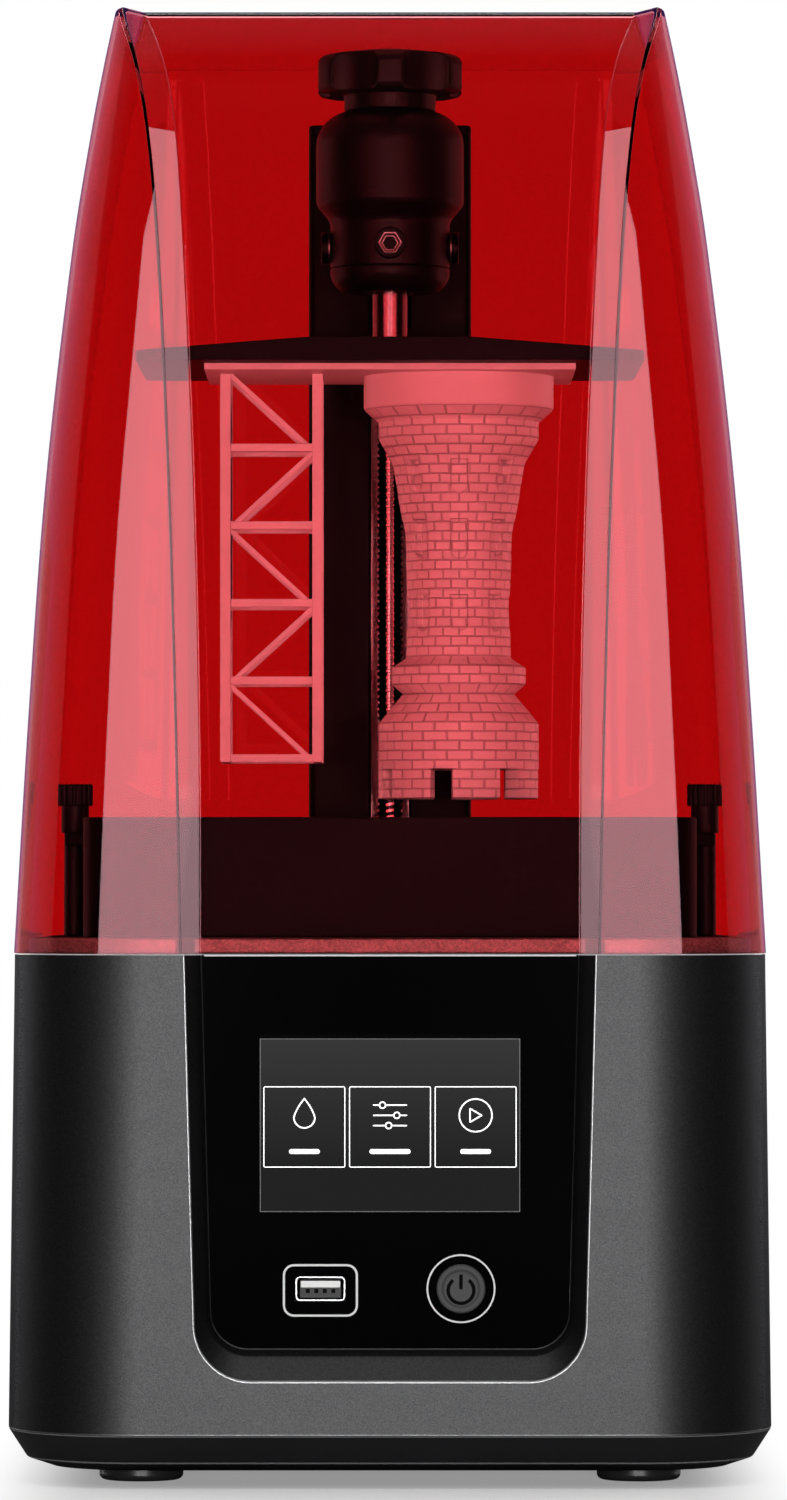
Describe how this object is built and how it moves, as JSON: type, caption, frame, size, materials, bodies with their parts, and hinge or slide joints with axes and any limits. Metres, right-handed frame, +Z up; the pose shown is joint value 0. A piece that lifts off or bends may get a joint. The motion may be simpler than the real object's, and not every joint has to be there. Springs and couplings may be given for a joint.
{
  "type": "desktop resin printer",
  "caption": "Desktop resin printer: grey base with touchscreen, clear red lift-off lid, resin vat, and a build platform on a screw-driven column.",
  "frame": {"origin": "centre of the footprint, on the floor plane under the rubber feet", "axes": "+Z up, -Y towards the user and the touchscreen, +X to the user's right"},
  "size_m": [0.227, 0.227, 0.4385],
  "materials": {
    "housing_paint": "fine metallic grey paint, satin",
    "tray_plastic": "black, lightly textured",
    "panel_gloss": "glossy black",
    "screen_face": "dark display glass",
    "rubber": "soft black",
    "steel": "bright steel",
    "polished": "polished steel",
    "aluminium": "blasted aluminium",
    "black_metal": "black coated metal, satin",
    "brass": "turned brass",
    "board": "green circuit board",
    "dark_plastic": "black moulded plastic",
    "button_plastic": "grey moulded plastic",
    "clear": "clear glass",
    "film": "clear release film",
    "lid_red": "clear red, glossy",
    "resin": "cured resin",
    "motor": "black motor case"
  },
  "bodies": {
    "base": {"base_tray": "tray_plastic", "tray_screws": "steel", "rubber_feet": "rubber", "housing": "housing_paint", "front_panel": "panel_gloss", "touchscreen": "screen_face", "screen_board": "board", "usb_socket": "steel", "usb_tongue": "dark_plastic", "usb_board": "board", "power_switch": "dark_plastic", "dc_jack": "dark_plastic", "exhaust_fan_frame": "dark_plastic", "mainboard": "board", "led_fan_frame": "dark_plastic", "led_heatsink": "aluminium", "led_board": "board", "light_shroud": "dark_plastic", "lens_plate": "clear", "top_deck": "housing_paint", "deck_screws": "steel", "lcd_panel": "screen_face", "screen_glass": "clear", "z_motor": "motor", "column": "black_metal", "column_cap": "dark_plastic", "screw_bearing": "brass", "linear_rail": "steel", "rail_screws": "steel", "endstop_sensor": "dark_plastic", "vat_frame": "black_metal", "vat_film": "film", "vat_film_ring": "steel", "vat_ring_screws": "steel"},
    "lid": {"lid": "lid_red"},
    "carriage": {"carriage_block": "steel", "z_arm": "black_metal", "screw_nut": "brass", "arm_screws": "steel", "endstop_flag": "steel", "platform_bracket": "black_metal", "ball_retainer": "black_metal", "clamp_screws": "polished"},
    "screw": {"lead_screw": "steel"},
    "knob": {"knob": "dark_plastic", "knob_stud": "steel"},
    "seat": {"ball_seat": "brass"},
    "platform": {"ball_stud": "polished", "build_plate": "aluminium", "sample_print": "resin"},
    "thumb_left": {"thumbscrew_left": "black_metal"},
    "thumb_right": {"thumbscrew_right": "black_metal"},
    "button": {"power_button": "button_plastic"},
    "exhaust_rotor": {"exhaust_fan_rotor": "dark_plastic"},
    "led_rotor": {"led_fan_rotor": "dark_plastic"}
  },
  "joints": [
    {"name": "lid_lift", "type": "slide", "parent": "base", "child": "lid", "axis": [0, 0, 1], "range_m": [0, 0.29]},
    {"name": "z_axis", "type": "slide", "parent": "base", "child": "carriage", "axis": [0, 0, 1], "range_m": [-0.168, 0.003], "deforming": ["sample_print"]},
    {"name": "screw_turn", "type": "hinge", "parent": "base", "child": "screw", "pos_m": [0, 0.0595, 0.28], "axis": [0, 0, 1], "range_deg": [-271, 15121]},
    {"name": "knob_turn", "type": "hinge", "parent": "carriage", "child": "knob", "pos_m": [0, -0.012, 0.42], "axis": [0, 0, 1], "range_deg": [0, 720]},
    {"name": "plate_pitch", "type": "hinge", "parent": "carriage", "child": "seat", "pos_m": [0, -0.012, 0.3695], "axis": [1, 0, 0], "range_deg": [-1.5, 1.5]},
    {"name": "plate_roll", "type": "hinge", "parent": "seat", "child": "platform", "pos_m": [0, -0.012, 0.3695], "axis": [0, 1, 0], "range_deg": [-1.5, 1.5]},
    {"name": "thumbscrew_left_turn", "type": "hinge", "parent": "base", "child": "thumb_left", "pos_m": [-0.097, -0.012, 0.2], "axis": [0, 0, 1], "range_deg": [0, 720]},
    {"name": "thumbscrew_right_turn", "type": "hinge", "parent": "base", "child": "thumb_right", "pos_m": [0.097, -0.012, 0.2], "axis": [0, 0, 1], "range_deg": [0, 720]},
    {"name": "power_button_press", "type": "slide", "parent": "base", "child": "button", "axis": [0, 1, 0], "range_m": [0, 0.0015], "stiffness_N_per_m": 900, "springref_m": -0.001},
    {"name": "exhaust_fan_spin", "type": "hinge", "parent": "base", "child": "exhaust_rotor", "pos_m": [-0.045, 0.0985, 0.085], "axis": [0, 1, 0], "continuous": true},
    {"name": "led_fan_spin", "type": "hinge", "parent": "base", "child": "led_rotor", "pos_m": [0, -0.012, 0.025], "axis": [0, 0, 1], "continuous": true}
  ],
  "couplings": [
    {"joint": "screw_turn", "follows": "z_axis", "rad_per_m": -1570.8}
  ]
}
